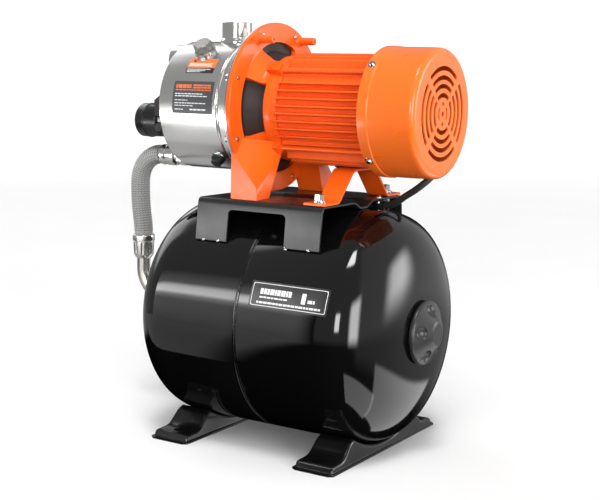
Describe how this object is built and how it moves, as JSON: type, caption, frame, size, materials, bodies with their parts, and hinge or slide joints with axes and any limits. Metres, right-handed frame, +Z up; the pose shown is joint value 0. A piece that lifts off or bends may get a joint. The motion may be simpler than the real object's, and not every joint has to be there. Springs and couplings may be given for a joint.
{
  "type": "shallow well jet pump",
  "caption": "Jet pump and finned motor bolted to a platform on a horizontal pressure tank, with braided hose, pressure switch and gauge.",
  "frame": {"origin": "on the surface that the feet stand on, under the middle of the whole pump's length and width", "axes": "+X along the motor's shaft, from the suction port towards the fan; +Z up; +Y towards the terminal box, away from the side seen in front"},
  "size_m": [0.461, 0.28, 0.5105],
  "materials": {
    "gloss_black_enamel": "gloss",
    "satin_black_paint": "satin",
    "orange_paint": "satin",
    "polished_stainless": "polished",
    "zinc_plate": "satin",
    "nickel_plated_brass": "satin",
    "stainless_braid": "woven",
    "black_plastic": "matte",
    "black_rubber": "matte",
    "dial_white": "matte",
    "needle_red": "gloss",
    "clear_lens": "clear",
    "lamination_steel": "rolled",
    "copper_winding": "enamelled wire",
    "seal_ceramic": "lapped",
    "moulded_nylon": "matte",
    "cast_aluminium": "as cast"
  },
  "bodies": {
    "pump_set": {"tank_shell_pump_end": "gloss_black_enamel", "tank_shell_motor_end": "gloss_black_enamel", "tank_foot_pump_end": "satin_black_paint", "tank_foot_motor_end": "satin_black_paint", "platform": "satin_black_paint", "motor_bracket": "orange_paint", "motor_housing": "orange_paint", "tie_rod_1": "orange_paint", "tie_rod_2": "orange_paint", "tie_rod_3": "orange_paint", "tie_rod_4": "orange_paint", "fan_cover": "orange_paint", "motor_foot": "orange_paint", "pump_casing": "polished_stainless", "suction_port": "polished_stainless", "discharge_port": "polished_stainless", "seal_plate": "polished_stainless", "hose_fitting_upper": "polished_stainless", "hose_fitting_lower": "polished_stainless", "front_bearing": "polished_stainless", "rear_bearing": "polished_stainless", "tank_flange": "zinc_plate", "bracket_foot_bolt_front": "zinc_plate", "bracket_foot_bolt_back": "zinc_plate", "motor_foot_bolt_front": "zinc_plate", "motor_foot_bolt_back": "zinc_plate", "air_valve": "nickel_plated_brass", "tank_elbow": "nickel_plated_brass", "switch_nipple": "nickel_plated_brass", "hose": "stainless_braid", "pressure_switch_base": "black_plastic", "pressure_switch_cover": "black_plastic", "motor_cable_gland": "black_plastic", "switch_cable_gland": "black_plastic", "gauge_case": "black_plastic", "terminal_box": "black_plastic", "terminal_box_lid": "black_plastic", "lead_clip": "black_plastic", "tank_bladder": "black_rubber", "casing_o_ring": "black_rubber", "motor_lead": "black_rubber", "gauge_dial": "dial_white", "gauge_lens": "clear_lens", "stator_core": "lamination_steel", "stator_windings": "copper_winding", "seal_seat": "seal_ceramic", "diffuser": "moulded_nylon", "ejector": "moulded_nylon", "capacitor": "moulded_nylon", "rear_shield": "cast_aluminium"},
    "rotor": {"shaft": "polished_stainless", "rotor_core": "lamination_steel", "fan": "moulded_nylon", "impeller": "moulded_nylon", "impeller_nut": "nickel_plated_brass", "seal_ring": "black_rubber"},
    "needle": {"gauge_needle": "needle_red"},
    "priming_plug": {"priming_plug": "polished_stainless"},
    "drain_plug": {"drain_plug": "black_plastic"},
    "valve_cover": {"valve_cover": "black_plastic"}
  },
  "joints": [
    {"name": "rotor_spin", "type": "hinge", "parent": "pump_set", "child": "rotor", "pos_m": [0.04, 0, 0.4067], "axis": [1, 0, 0], "continuous": true},
    {"name": "gauge_needle_turn", "type": "hinge", "parent": "pump_set", "child": "needle", "pos_m": [-0.20383, 0, 0.384], "axis": [1, 0, 0], "range_deg": [0, 270]},
    {"name": "priming_plug_lift", "type": "slide", "parent": "pump_set", "child": "priming_plug", "axis": [0, -0.6088, 0.7934], "range_m": [0, 0.025]},
    {"name": "drain_plug_pull", "type": "slide", "parent": "pump_set", "child": "drain_plug", "axis": [0, -0.6361, -0.7716], "range_m": [0, 0.02]},
    {"name": "valve_cover_pull", "type": "slide", "parent": "pump_set", "child": "valve_cover", "axis": [1, 0, 0], "range_m": [0, 0.03]}
  ]
}
